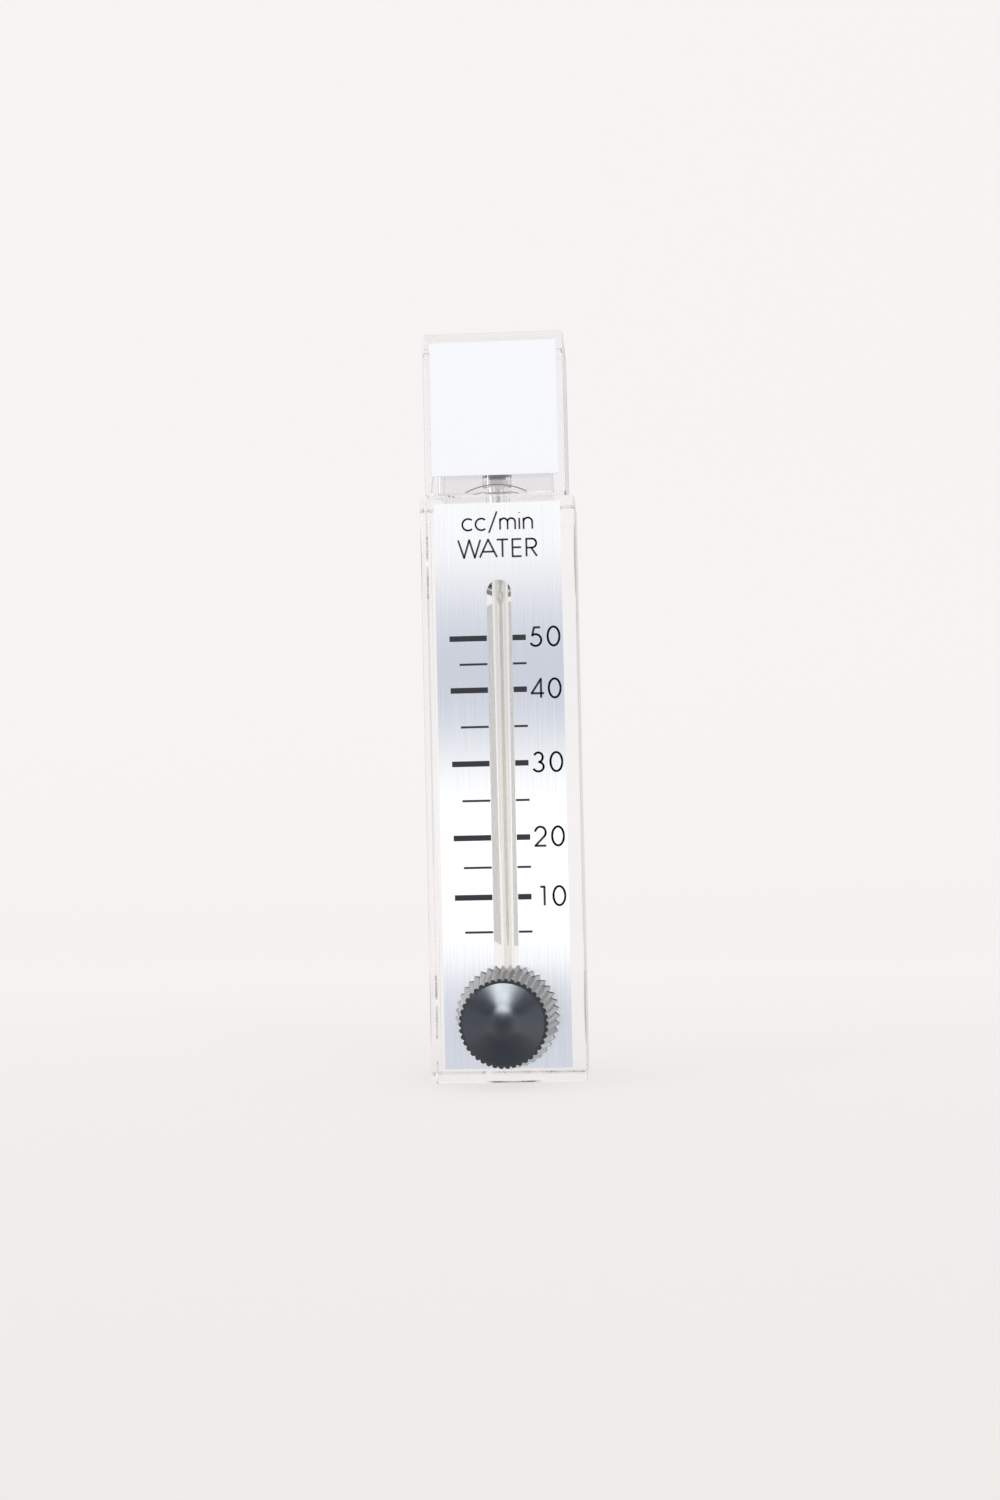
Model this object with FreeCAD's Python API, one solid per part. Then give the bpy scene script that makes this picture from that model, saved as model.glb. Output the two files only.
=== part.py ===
"""Variable-area flow meter: clear block, slotted scale, slip cap, ball float and needle valve.

Millimetres. +Z is up along the metering bore and the front faces -Y. The origin is the
centre of the inlet port's rear mouth, so the outlet port lies straight above it.
"""
import FreeCAD
import Part
import math
import os

V = FreeCAD.Vector
Y_AXIS = V(0, 1, 0)
Z_AXIS = V(0, 0, 1)

# ---- Clear block -------------------------------------------------------------------
body_width = 25.4
body_depth = 20.6
inlet_height = 10.7            # base to inlet axis
port_spacing = 76.2            # inlet axis to outlet axis
shoulder_rise = 8.9            # outlet axis to the shoulder that the cap stands on
head_width = 18.6
head_height = 22.8
corner_round = 0.5             # upright edges
edge_chamfer = 0.3             # level edges

# ---- Slip cap and its label ----------------------------------------------------------
cap_wall = 2.05
cap_front_wall = 2.85
cap_top_wall = 2.0
cap_headroom = 1.8             # space between the head and the cap's ceiling
cap_fit = 0.15                 # clearance round the head
cap_seat_gap = 0.05
label_rim = 0.95               # rim left round the label's recess
label_side_gap = 0.2
label_top_gap = 0.55
label_band = 3.1               # clear band of cap below the label
label_recess_depth = 0.35
label_thickness = 0.25

# ---- Scale plate ---------------------------------------------------------------------
plate_thickness = 0.5
recess_depth = 0.7
recess_side_wall = 1.7
recess_foot_wall = 1.15
plate_side_gap = 0.6
plate_foot_gap = 1.15
plate_head_gap = 0.9           # shoulder to the plate's upper edge
slot_width = 4.0
slot_drop = 4.7                # outlet axis to the slot's round top
slot_to_hole = 1.4             # metal left between the slot and the bushing's hole
plate_hole_gap = 0.4
core_mark_radius = 10.8        # round core pad that closes the front behind the outlet

# ---- Metering bore, float and ball stop ------------------------------------------------
bore_inset = 6.5               # front face to bore axis
float_radius = 0.992
foot_clearance = 0.038         # radial clearance of the float in the bore's straight foot
foot_height = 6.0              # length of the straight foot
bore_foot_step = 0.03          # how far the taper's foot is wider than the straight foot
bore_taper = 0.32              # how far the taper's top is wider than the straight foot
seat_angle = 32.0              # half angle of the cone that the float rests in
seat_gap = 0.03
feed_radius = 0.65             # passage from the valve chamber to the seat
seat_rise = 2.3                # valve chamber to the seat cone
outlet_chamber_step = 0.65     # from the taper's top out to the outlet chamber's wall
outlet_chamber_drop = 3.4      # outlet axis to the chamber's floor
stop_tip_drop = 8.5            # outlet axis to the stop's tip
stop_tip_gap = 0.08            # tip's radius below the straight foot's
stop_tip_length = 2.4
stop_stem_radius = 0.65
seal_rise = 2.1                # shoulder to the floor of the plug's seal bore
plug_seal_step = 0.45          # from the outlet chamber out to the plug's seal bore
plug_thread_step = 0.75        # from the seal bore out to the plug's thread
plug_ring_section = 1.0
plug_groove_play = 0.3
plug_land = 1.0
plug_top_drop = 0.9            # plug's top below the top of the head
hex_across_flats = 3.97
hex_depth = 5.0

# ---- Ports -----------------------------------------------------------------------------
port_thread_radius = 4.37
port_thread_length = 8.0
port_wall = 1.23
port_flange_overlap = 0.6
port_flange_height = 1.6
port_end_wall = 1.4
port_hole_radius = 2.2
outlet_passage_radius = 2.0    # from the outlet chamber to the outlet insert
port_ring_section = 1.0

# ---- Needle valve ------------------------------------------------------------------------
seat_length = 2.2
seat_orifice_radius = 0.8
needle_fit = 0.03
needle_tip_radius = 0.35
needle_tip_length = 1.2
needle_neck = 1.2
chamber_play = 0.63            # round the stem's thread in the valve chamber
stem_thread_radius = 1.97
stem_shoulder = 0.38           # thread and collar stand this far out of the shaft
running_fit = 0.05
stem_collar = 0.5
stem_ring_section = 0.88
stem_groove_play = 0.22
valve_lift = 3.0               # travel of the stem from shut to its stop
lift_stop_gap = 0.3
bushing_wall = 2.73
bushing_flange_overlap = 0.85
bushing_flange_height = 1.2
bushing_nose_wall = 1.76
bushing_nose_length = 1.5      # nose in front of the flange
bushing_lip_wall = 1.4
bushing_lead = 1.3             # bushing's inner end to the stem's ring groove
bushing_ring_section = 1.1
spanner_slot_width = 1.2

# ---- Knob ----------------------------------------------------------------------------------
knob_teeth = 42
knob_length = 11.6
knob_gap = 0.8                 # front face of the block to the knob's skirt
knob_base_radius = 8.5
knob_face_radius = 7.0
tooth_depth_base = 0.68
tooth_depth_face = 0.34
skirt_wall = 1.0
knob_face_wall = 2.2
knob_hub_wall = 1.2
knob_hub_gap = 0.6             # hub's end to the bushing's nose
knob_dish_depth = 0.35
knob_dish_flat_radius = 1.8
knob_edge_chamfer = 0.25
knob_insert_wall = 1.01
knob_insert_wall_gap = 0.4     # plastic left over the bush's outer end
stem_flat_depth = 0.5

# ---- White strip behind the bore -------------------------------------------------------
strip_width = 8.4
strip_thickness = 0.4
strip_head_gap = 0.6           # to the outlet insert's flange
strip_foot_gap = 4.4           # to the inlet insert's flange

# ---- Places worked out from the sizes above ----------------------------------------------
rear_y = -port_flange_height
front_y = rear_y - body_depth
base_z = -inlet_height
outlet_z = port_spacing
shoulder_z = outlet_z + shoulder_rise
head_top_z = shoulder_z + head_height
head_rear_y = rear_y - cap_wall - cap_fit
bore_y = front_y + bore_inset
recess_y = front_y + recess_depth
port_radius = port_thread_radius + port_wall
port_flange_radius = port_radius + port_flange_overlap
insert_end_y = -(port_thread_length + port_end_wall)
seat_end_y = insert_end_y - seat_length
nose_y = recess_y - bushing_flange_height - bushing_nose_length
lip_y = nose_y + bushing_lip_wall
collar_end_y = lip_y + lift_stop_gap + valve_lift
groove_end_y = collar_end_y + stem_collar
groove_start_y = groove_end_y + stem_groove_play + stem_ring_section
chamber_end_y = groove_start_y + bushing_lead
chamber_radius = stem_thread_radius + chamber_play
stem_radius = stem_thread_radius - stem_shoulder
bushing_bore_radius = stem_thread_radius + running_fit
bushing_thread_radius = bushing_bore_radius + bushing_wall
bushing_nose_radius = stem_radius + running_fit + bushing_nose_wall
bushing_flange_radius = bushing_thread_radius + bushing_flange_overlap
plate_hole_radius = bushing_flange_radius + plate_hole_gap
foot_radius = float_radius + foot_clearance
bore_foot_radius = foot_radius + bore_foot_step
bore_top_radius = foot_radius + bore_taper
outlet_chamber_radius = bore_top_radius + outlet_chamber_step
plug_seal_radius = outlet_chamber_radius + plug_seal_step
plug_thread_radius = plug_seal_radius + plug_thread_step
stop_tip_radius = foot_radius - stop_tip_gap
seat_cone_z = chamber_radius + seat_rise
seat_slope = math.tan(math.radians(seat_angle))
seat_cone_height = (foot_radius - feed_radius) / seat_slope
foot_z = seat_cone_z + seat_cone_height
bore_foot_z = foot_z + foot_height
outlet_floor_z = outlet_z - outlet_chamber_drop
seal_floor_z = shoulder_z + seal_rise
stop_tip_z = outlet_z - stop_tip_drop
strip_foot_z = port_flange_radius + strip_foot_gap
strip_top_z = outlet_z - port_flange_radius - strip_head_gap


def block(x0, x1, y0, y1, z0, z1):
    """Box between two corners."""
    return Part.makeBox(x1 - x0, y1 - y0, z1 - z0, V(x0, y0, z0))


def rod_y(radius, y_low, y_high, z=0.0):
    """Cylinder along Y at x = 0."""
    return Part.makeCylinder(radius, y_high - y_low, V(0, y_low, z), Y_AXIS)


def rod_z(radius, z_low, z_high):
    """Cylinder along Z on the bore's axis."""
    return Part.makeCylinder(radius, z_high - z_low, V(0, bore_y, z_low), Z_AXIS)


def turned_y(profile, z=0.0):
    """Solid turned about the Y axis at height z, from (y, radius) points."""
    points = [V(radius, y, z) for y, radius in profile]
    face = Part.Face(Part.makePolygon(points + points[:1]))
    return face.revolve(V(0, 0, z), Y_AXIS, 360)


def turned_z(profile):
    """Solid turned about the bore's axis, from (z, radius) points."""
    points = [V(radius, bore_y, z) for z, radius in profile]
    face = Part.Face(Part.makePolygon(points + points[:1]))
    return face.revolve(V(0, bore_y, 0), Z_AXIS, 360)


def ring_section(groove_radius, section, middle):
    """Points (along, radius) of a fitted O-ring's section: round, pressed flat on eight sides."""
    half = section / 2
    reach = half / math.cos(math.pi / 8)
    points = []
    for index in range(8):
        angle = math.pi / 8 + index * math.pi / 4
        along = middle + reach * math.cos(angle)
        points.append((along, groove_radius + half + reach * math.sin(angle)))
    return points


def soften(solid, chamfer_ends):
    """Round a block's upright edges and, if asked, chamfer the edges of its two ends."""
    upright = [edge for edge in solid.Edges if edge.BoundBox.ZLength > corner_round]
    solid = solid.makeFillet(corner_round, upright)
    if not chamfer_ends:
        return solid
    level = [edge for edge in solid.Edges if edge.BoundBox.ZLength < edge_chamfer]
    return solid.makeChamfer(edge_chamfer, level)


def slot_prism(width, z_low, z_high, y_low, y_high):
    """Upright slot with round ends, as a solid between two Y values."""
    half = width / 2
    bar = block(-half, half, y_low, y_high, z_low + half, z_high - half)
    foot = rod_y(half, y_low, y_high, z_low + half)
    crown = rod_y(half, y_low, y_high, z_high - half)
    return bar.fuse([foot, crown]).removeSplitter()


# ---- Clear block ---------------------------------------------------------------------------
def outer_block():
    """Wide lower block with the narrower head standing on it."""
    half = body_width / 2
    lower = block(-half, half, front_y, rear_y, base_z, shoulder_z)
    lower = soften(lower, True)
    head_half = head_width / 2
    head = block(-head_half, head_half, front_y, head_rear_y, shoulder_z - edge_chamfer, head_top_z)
    head = soften(head, False)
    return lower.fuse(head).removeSplitter()


def metering_cavity():
    """Feed hole, float seat, straight foot, tapered bore, outlet chamber and plug seat."""
    seal_top_z = seal_floor_z + 2 * plug_land + plug_ring_section + plug_groove_play
    thread_z = seal_top_z + (plug_thread_radius - plug_seal_radius)
    profile = [
        (0.0, 0.0),
        (0.0, feed_radius),
        (seat_cone_z, feed_radius),
        (foot_z, foot_radius),
        (bore_foot_z, bore_foot_radius),
        (outlet_floor_z, bore_top_radius),
        (outlet_floor_z, outlet_chamber_radius),
        (seal_floor_z, outlet_chamber_radius),
        (seal_floor_z, plug_seal_radius),
        (seal_top_z, plug_seal_radius),
        (thread_z, plug_thread_radius),
        (head_top_z, plug_thread_radius),
        (head_top_z, 0.0),
    ]
    return turned_z(profile)


def valve_cavity():
    """Stepped bore from the recess floor through the valve chamber to the inlet insert."""
    return turned_y([
        (front_y, 0.0),
        (front_y, bushing_thread_radius),
        (chamber_end_y, bushing_thread_radius),
        (chamber_end_y, chamber_radius),
        (insert_end_y, chamber_radius),
        (insert_end_y, 0.0),
    ])


def port_pocket(z):
    """Pocket for a port insert in the rear face."""
    return rod_y(port_radius, insert_end_y, rear_y, z)


def plate_recess():
    """Shallow recess that holds the scale, open at the shoulder, and the round core mark."""
    half = body_width / 2 - recess_side_wall
    tray = block(-half, half, front_y, recess_y, base_z + recess_foot_wall, shoulder_z)
    return tray.fuse(rod_y(core_mark_radius, front_y, recess_y, outlet_z))


def strip_recess():
    """Shallow recess in the rear face for the white strip."""
    return slot_prism(strip_width, strip_foot_z, strip_top_z, rear_y - strip_thickness, rear_y)


def make_flow_body():
    """The clear block with all its bores."""
    cuts = [
        plate_recess(),
        strip_recess(),
        metering_cavity(),
        valve_cavity(),
        port_pocket(0.0),
        port_pocket(outlet_z),
        rod_y(outlet_passage_radius, bore_y, insert_end_y, outlet_z),
    ]
    return outer_block().cut(cuts)


# ---- Cap and label --------------------------------------------------------------------------
cap_half = head_width / 2 + cap_fit + cap_wall
cap_front_y = front_y - cap_fit - cap_front_wall
cap_rear_y = head_rear_y + cap_fit + cap_wall
cap_bottom_z = shoulder_z + cap_seat_gap
cap_top_z = head_top_z + cap_headroom + cap_top_wall
label_bottom_z = cap_bottom_z + label_band
label_top_z = cap_top_z - label_rim - label_top_gap
label_half = cap_half - label_rim - label_side_gap


def make_slip_cap():
    """Clear cover, open below, with a shallow recess in front for the label."""
    shell = block(-cap_half, cap_half, cap_front_y, cap_rear_y, cap_bottom_z, cap_top_z)
    shell = soften(shell, True)
    inner = head_width / 2 + cap_fit
    hollow = block(
        -inner,
        inner,
        front_y - cap_fit,
        head_rear_y + cap_fit,
        cap_bottom_z,
        cap_top_z - cap_top_wall,
    )
    hollow = soften(hollow, False)
    recess_half = cap_half - label_rim
    recess = block(
        -recess_half,
        recess_half,
        cap_front_y,
        cap_front_y + label_recess_depth,
        label_bottom_z,
        cap_top_z - label_rim,
    )
    return shell.cut([hollow, recess])


def make_cap_label():
    """White card that lies on the floor of the cap's recess."""
    back_y = cap_front_y + label_recess_depth
    return block(
        -label_half,
        label_half,
        back_y - label_thickness,
        back_y,
        label_bottom_z,
        label_top_z,
    )


# ---- Scale and strip ------------------------------------------------------------------------
def make_scale_plate():
    """Flat scale with a viewing slot and a hole for the valve bushing."""
    half = body_width / 2 - recess_side_wall - plate_side_gap
    face_y = recess_y - plate_thickness
    bottom_z = base_z + recess_foot_wall + plate_foot_gap
    sheet = block(-half, half, face_y, recess_y, bottom_z, shoulder_z - plate_head_gap)
    slot_foot_z = plate_hole_radius + slot_to_hole
    slot = slot_prism(slot_width, slot_foot_z, outlet_z - slot_drop, face_y, recess_y)
    return sheet.cut([slot, rod_y(plate_hole_radius, face_y, recess_y)])


def make_backing_strip():
    """White strip glued in the rear face behind the bore."""
    return strip_recess()


# ---- Ball stop and float ----------------------------------------------------------------------
def make_plug_ball_stop():
    """Threaded plug with a ring groove, a long stem and a coned tip that stops the float."""
    land_z = seal_floor_z + plug_land
    groove_z = land_z + plug_ring_section + plug_groove_play
    seal_top_z = groove_z + plug_land
    thread_z = seal_top_z + (plug_thread_radius - plug_seal_radius)
    top_z = head_top_z - plug_top_drop
    groove_radius = plug_seal_radius - plug_ring_section
    tip_edge_z = stop_tip_z + stop_tip_radius
    tip_top_z = stop_tip_z + stop_tip_length
    plug = turned_z([
        (stop_tip_z, 0.0),
        (stop_tip_z, stop_stem_radius / 2),
        (tip_edge_z, stop_tip_radius),
        (tip_top_z - stop_tip_radius + stop_stem_radius, stop_tip_radius),
        (tip_top_z, stop_stem_radius),
        (seal_floor_z, stop_stem_radius),
        (seal_floor_z, plug_seal_radius),
        (land_z, plug_seal_radius),
        (land_z, groove_radius),
        (groove_z, groove_radius),
        (groove_z, plug_seal_radius),
        (seal_top_z, plug_seal_radius),
        (thread_z, plug_thread_radius),
        (top_z, plug_thread_radius),
        (top_z, 0.0),
    ])
    return plug.cut(hex_socket(top_z))


def hex_socket(top_z):
    """Six-sided key socket sunk from top_z."""
    corner = hex_across_flats / math.sqrt(3)
    points = []
    for index in range(7):
        angle = math.radians(60 * index)
        points.append(V(corner * math.cos(angle), bore_y + corner * math.sin(angle), top_z))
    return Part.Face(Part.makePolygon(points)).extrude(V(0, 0, -hex_depth))


def make_plug_o_ring():
    """Ring in the plug's groove."""
    z = seal_floor_z + plug_land + (plug_ring_section + plug_groove_play) / 2
    return turned_z(ring_section(plug_seal_radius - plug_ring_section, plug_ring_section, z))


def make_float_ball():
    """Float, resting in the seat's cone."""
    apex_z = seat_cone_z - feed_radius / seat_slope
    z = apex_z + float_radius / math.sin(math.radians(seat_angle)) + seat_gap
    return Part.makeSphere(float_radius, V(0, bore_y, z))


# ---- Ports ---------------------------------------------------------------------------------
def make_port_insert(z):
    """Flanged insert with a threaded bore and a ring groove at its inner end."""
    groove_y = insert_end_y + port_ring_section
    groove_radius = port_radius - port_ring_section
    return turned_y([
        (0.0, port_thread_radius),
        (0.0, port_flange_radius),
        (rear_y, port_flange_radius),
        (rear_y, port_radius),
        (groove_y, port_radius),
        (groove_y, groove_radius),
        (insert_end_y, groove_radius),
        (insert_end_y, port_hole_radius),
        (-port_thread_length, port_hole_radius),
        (-port_thread_length, port_thread_radius),
    ], z)


def make_port_o_ring(z):
    """Ring at a port insert's inner end."""
    y = insert_end_y + port_ring_section / 2
    return turned_y(ring_section(port_radius - port_ring_section, port_ring_section, y), z)


# ---- Needle valve ----------------------------------------------------------------------------
thread_start_y = seat_end_y - needle_neck
knob_base_y = front_y - knob_gap
knob_face_y = knob_base_y - knob_length
hub_end_y = nose_y - knob_hub_gap
knob_insert_radius = stem_radius + knob_insert_wall
knob_hub_radius = knob_insert_radius + knob_hub_wall
insert_outer_y = knob_face_y + knob_face_wall + knob_insert_wall_gap
stem_groove_radius = bushing_bore_radius - stem_ring_section - 2 * running_fit


def make_valve_seat():
    """Bush whose orifice the needle shuts."""
    return turned_y([
        (insert_end_y, seat_orifice_radius),
        (insert_end_y, chamber_radius),
        (seat_end_y, chamber_radius),
        (seat_end_y, seat_orifice_radius),
    ])


def make_valve_stem():
    """Needle, thread, ring groove, collar and shaft, turned in one piece."""
    needle_radius = seat_orifice_radius - needle_fit
    stem = turned_y([
        (seat_end_y + needle_tip_length, 0.0),
        (seat_end_y + needle_tip_length, needle_tip_radius),
        (seat_end_y, needle_radius),
        (thread_start_y, needle_radius),
        (thread_start_y, stem_thread_radius),
        (groove_start_y, stem_thread_radius),
        (groove_start_y, stem_groove_radius),
        (groove_end_y, stem_groove_radius),
        (groove_end_y, stem_thread_radius),
        (collar_end_y, stem_thread_radius),
        (collar_end_y, stem_radius),
        (insert_outer_y, stem_radius),
        (insert_outer_y, 0.0),
    ])
    return stem.cut(stem_flat())


def stem_flat():
    """What is milled off the shaft so that it drives the knob's bush."""
    return block(
        -stem_radius,
        stem_radius,
        insert_outer_y,
        hub_end_y,
        stem_radius - stem_flat_depth,
        stem_radius,
    )


def make_stem_o_ring():
    """Ring that travels with the stem and seals it in the bushing."""
    y = (groove_start_y + groove_end_y) / 2
    return turned_y(ring_section(stem_groove_radius + running_fit, stem_ring_section, y))


def make_valve_bushing():
    """Threaded bushing with a flange, spanner slots and a lip that stops the stem."""
    ring_groove_y = chamber_end_y - bushing_ring_section
    ring_groove_radius = bushing_thread_radius - bushing_ring_section
    bushing = turned_y([
        (chamber_end_y, bushing_bore_radius),
        (chamber_end_y, ring_groove_radius),
        (ring_groove_y, ring_groove_radius),
        (ring_groove_y, bushing_thread_radius),
        (recess_y, bushing_thread_radius),
        (recess_y, bushing_flange_radius),
        (recess_y - bushing_flange_height, bushing_flange_radius),
        (recess_y - bushing_flange_height, bushing_nose_radius),
        (nose_y, bushing_nose_radius),
        (nose_y, stem_radius + running_fit),
        (lip_y, stem_radius + running_fit),
        (lip_y, bushing_bore_radius),
    ])
    half = spanner_slot_width / 2
    reach = bushing_flange_radius
    slot_floor_y = recess_y - bushing_flange_height / 2
    for side in (-1, 1):
        near, far = sorted((side * bushing_nose_radius, side * reach))
        bushing = bushing.cut(block(near, far, nose_y, slot_floor_y, -half, half))
    return bushing


def make_bushing_o_ring():
    """Ring at the bushing's inner end."""
    y = chamber_end_y - bushing_ring_section / 2
    groove_radius = bushing_thread_radius - bushing_ring_section
    return turned_y(ring_section(groove_radius, bushing_ring_section, y))


# ---- Knob -------------------------------------------------------------------------------------
def tooth_points(tip_radius, y):
    """Corners of a ring of sharp teeth, a tip and a root in turn, across the knob's axis."""
    root_share = 1 - tooth_depth_base / knob_base_radius
    points = []
    for index in range(2 * knob_teeth):
        radius = tip_radius * (root_share if index % 2 else 1)
        angle = index * math.pi / knob_teeth
        points.append(V(radius * math.cos(angle), y, radius * math.sin(angle)))
    return points


def toothed_cone():
    """Tapered plug whose flat tooth flanks all point at one apex."""
    root_share = 1 - tooth_depth_base / knob_base_radius
    face_tip_radius = (knob_face_radius - tooth_depth_face) / root_share
    base = tooth_points(knob_base_radius, knob_base_y)
    face = tooth_points(face_tip_radius, knob_face_y)
    ends = [Part.Face(Part.makePolygon(ring + ring[:1])) for ring in (base, face)]
    flanks = []
    for index in range(2 * knob_teeth):
        after = (index + 1) % (2 * knob_teeth)
        corners = [base[index], base[after], face[after], face[index], base[index]]
        flanks.append(Part.Face(Part.makePolygon(corners)))
    return Part.Solid(Part.Shell(ends + flanks))


def knob_envelope():
    """Turned cone with a dished face and chamfered rim, which blunts the teeth near the face."""
    rim_radius = knob_face_radius - tooth_depth_face - knob_edge_chamfer
    rim_height = tooth_depth_face + knob_edge_chamfer
    rim_slope = (knob_base_radius - knob_face_radius) / knob_length
    return turned_y([
        (knob_base_y, 0.0),
        (knob_base_y, knob_base_radius),
        (knob_face_y + rim_height, knob_face_radius + rim_slope * rim_height),
        (knob_face_y, rim_radius),
        (knob_face_y + knob_dish_depth, knob_dish_flat_radius),
        (knob_face_y + knob_dish_depth, 0.0),
    ])


def knob_hollow():
    """Space between the skirt and the hub."""
    taper = (knob_base_radius - knob_face_radius) / knob_length
    root_radius = knob_base_radius - tooth_depth_base
    floor_y = knob_face_y + knob_face_wall
    depth = knob_base_y - floor_y
    outer = turned_y([
        (knob_base_y, 0.0),
        (knob_base_y, root_radius - skirt_wall),
        (floor_y, root_radius - skirt_wall - taper * depth),
        (floor_y, 0.0),
    ])
    return outer.cut(rod_y(knob_hub_radius, floor_y, hub_end_y))


def make_knob():
    """Serrated tapered knob with a hollow skirt, a hub and a dished face."""
    solid = toothed_cone().common(knob_envelope())
    return solid.cut([knob_hollow(), rod_y(knob_insert_radius, insert_outer_y, hub_end_y)])


def make_knob_insert():
    """Metal bush moulded in the hub, with a flat that matches the stem's."""
    bush = rod_y(knob_insert_radius, insert_outer_y, hub_end_y)
    shaft = rod_y(stem_radius, insert_outer_y, hub_end_y)
    return bush.cut(shaft.cut(stem_flat()))


PIECES = {
    "flow_body": make_flow_body,
    "slip_cap": make_slip_cap,
    "cap_label": make_cap_label,
    "scale_plate": make_scale_plate,
    "backing_strip": make_backing_strip,
    "plug_ball_stop": make_plug_ball_stop,
    "plug_o_ring": make_plug_o_ring,
    "float_ball": make_float_ball,
    "inlet_insert": lambda: make_port_insert(0.0),
    "inlet_o_ring": lambda: make_port_o_ring(0.0),
    "outlet_insert": lambda: make_port_insert(outlet_z),
    "outlet_o_ring": lambda: make_port_o_ring(outlet_z),
    "valve_seat": make_valve_seat,
    "valve_stem": make_valve_stem,
    "stem_o_ring": make_stem_o_ring,
    "valve_bushing": make_valve_bushing,
    "bushing_o_ring": make_bushing_o_ring,
    "knob": make_knob,
    "knob_insert": make_knob_insert,
}


def main():
    os.makedirs("parts", exist_ok=True)
    for name, make in PIECES.items():
        shape = make()
        shape.exportStep(os.path.join("parts", name + ".step"))
        box = shape.BoundBox
        print(
            "%-15s solids %d valid %s volume %9.2f  x %.2f..%.2f  y %.2f..%.2f  z %.2f..%.2f"
            % (
                name,
                len(shape.Solids),
                shape.isValid(),
                shape.Volume,
                box.XMin,
                box.XMax,
                box.YMin,
                box.YMax,
                box.ZMin,
                box.ZMax,
            )
        )


main()
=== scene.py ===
# %% [markdown]
# # A small flow meter in a pale studio
# The object is a panel flow meter: a clear moulded block with a tapered bore, a brushed
# scale plate with a slot, a slip cap, a needle valve with a black serrated knob, and two
# threaded ports at the back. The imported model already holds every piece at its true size,
# so this file only dresses it: finishes, printing, threads, light and a camera.

# %% Load the frame
import math
import bmesh
import bpy
from mathutils import Matrix, Vector


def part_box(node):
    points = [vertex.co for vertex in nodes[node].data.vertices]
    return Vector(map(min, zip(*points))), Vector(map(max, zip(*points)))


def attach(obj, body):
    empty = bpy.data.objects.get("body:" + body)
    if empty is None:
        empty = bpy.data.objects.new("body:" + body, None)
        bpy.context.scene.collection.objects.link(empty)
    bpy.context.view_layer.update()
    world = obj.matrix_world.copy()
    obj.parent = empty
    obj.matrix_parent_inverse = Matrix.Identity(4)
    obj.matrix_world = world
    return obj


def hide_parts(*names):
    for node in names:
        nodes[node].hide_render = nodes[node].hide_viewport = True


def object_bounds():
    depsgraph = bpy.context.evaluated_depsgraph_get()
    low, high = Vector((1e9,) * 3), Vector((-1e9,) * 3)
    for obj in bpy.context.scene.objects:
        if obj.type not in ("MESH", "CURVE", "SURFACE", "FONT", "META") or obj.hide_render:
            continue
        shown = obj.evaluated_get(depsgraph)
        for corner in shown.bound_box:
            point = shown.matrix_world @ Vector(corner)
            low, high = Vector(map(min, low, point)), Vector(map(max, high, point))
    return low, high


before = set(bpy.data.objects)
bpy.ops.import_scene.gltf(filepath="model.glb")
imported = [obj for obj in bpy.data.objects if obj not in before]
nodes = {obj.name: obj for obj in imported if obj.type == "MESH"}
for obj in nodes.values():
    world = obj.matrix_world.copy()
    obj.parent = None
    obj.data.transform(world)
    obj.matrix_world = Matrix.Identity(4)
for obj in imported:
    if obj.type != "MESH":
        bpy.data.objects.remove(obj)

MM = 0.001
cad_low, cad_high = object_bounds()
scene = bpy.context.scene
scene.view_settings.view_transform = "Standard"

# %% [markdown]
# ## Camera
# The eye stands a third of a metre in front of the meter, level with the middle of the scale
# and a little to the right. A camera's own axes are right, up and backwards, so the three
# turns (yaw, pitch, roll) are worked out as those three directions and set as one matrix.

# %% Camera
EYE = Vector((19.861, -361.077, 32.020)) * MM
PITCH, YAW, ROLL = 0.0338, -0.0595, -0.0217
LENS = 49.816


def make_camera():
    forward = Vector((
        math.sin(YAW) * math.cos(PITCH), math.cos(YAW) * math.cos(PITCH), math.sin(PITCH),
    ))
    level = Vector((math.cos(YAW), -math.sin(YAW), 0))
    upright = level.cross(forward)
    right = level * math.cos(ROLL) + upright * math.sin(ROLL)
    up = upright * math.cos(ROLL) - level * math.sin(ROLL)
    camera = bpy.data.objects.new("studio_camera", bpy.data.cameras.new("studio_camera"))
    camera.data.lens = LENS
    camera.data.sensor_width = 36
    camera.data.clip_start = 0.01
    camera.matrix_world = Matrix((right, up, -forward)).transposed().to_4x4()
    camera.matrix_world.translation = EYE
    scene.collection.objects.link(camera)
    scene.camera = camera
    return camera


camera = make_camera()
print("camera looks along", [round(v, 3) for v in -camera.matrix_world.col[2].xyz])

# %% [markdown]
# ## Node helpers
# Every finish below is a small node tree. Five short helpers keep them readable: one adds a
# node, one sets its input sockets, one joins sockets, one starts a material with its
# Principled shader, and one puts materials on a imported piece.

# %% Node helpers
def add(tree, kind, **values):
    """A node of this kind, with the given properties set."""
    node = tree.nodes.new(kind)
    for name, value in values.items():
        setattr(node, name, value)
    return node


def fill(node, **sockets):
    """Sets a node's input sockets, with spaces in their names written as underscores."""
    for name, value in sockets.items():
        node.inputs[name.replace("_", " ")].default_value = value
    return node


def join(tree, start, end):
    """Joins an output socket to an input socket."""
    tree.links.new(start, end)


def finish(name, colour, **sockets):
    """A material with a Principled shader. Returns (material, tree, shader)."""
    material = bpy.data.materials.new(name)
    material.use_nodes = True
    tree = material.node_tree
    shader = tree.nodes["Principled BSDF"]
    fill(shader, Base_Color=(*colour, 1), **sockets)
    return material, tree, shader


def dress(node_name, *materials):
    """Puts materials in a CAD node's slots, whose mesh stays as it is."""
    slots = nodes[node_name].data.materials
    slots.clear()
    for material in materials:
        slots.append(material)


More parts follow.
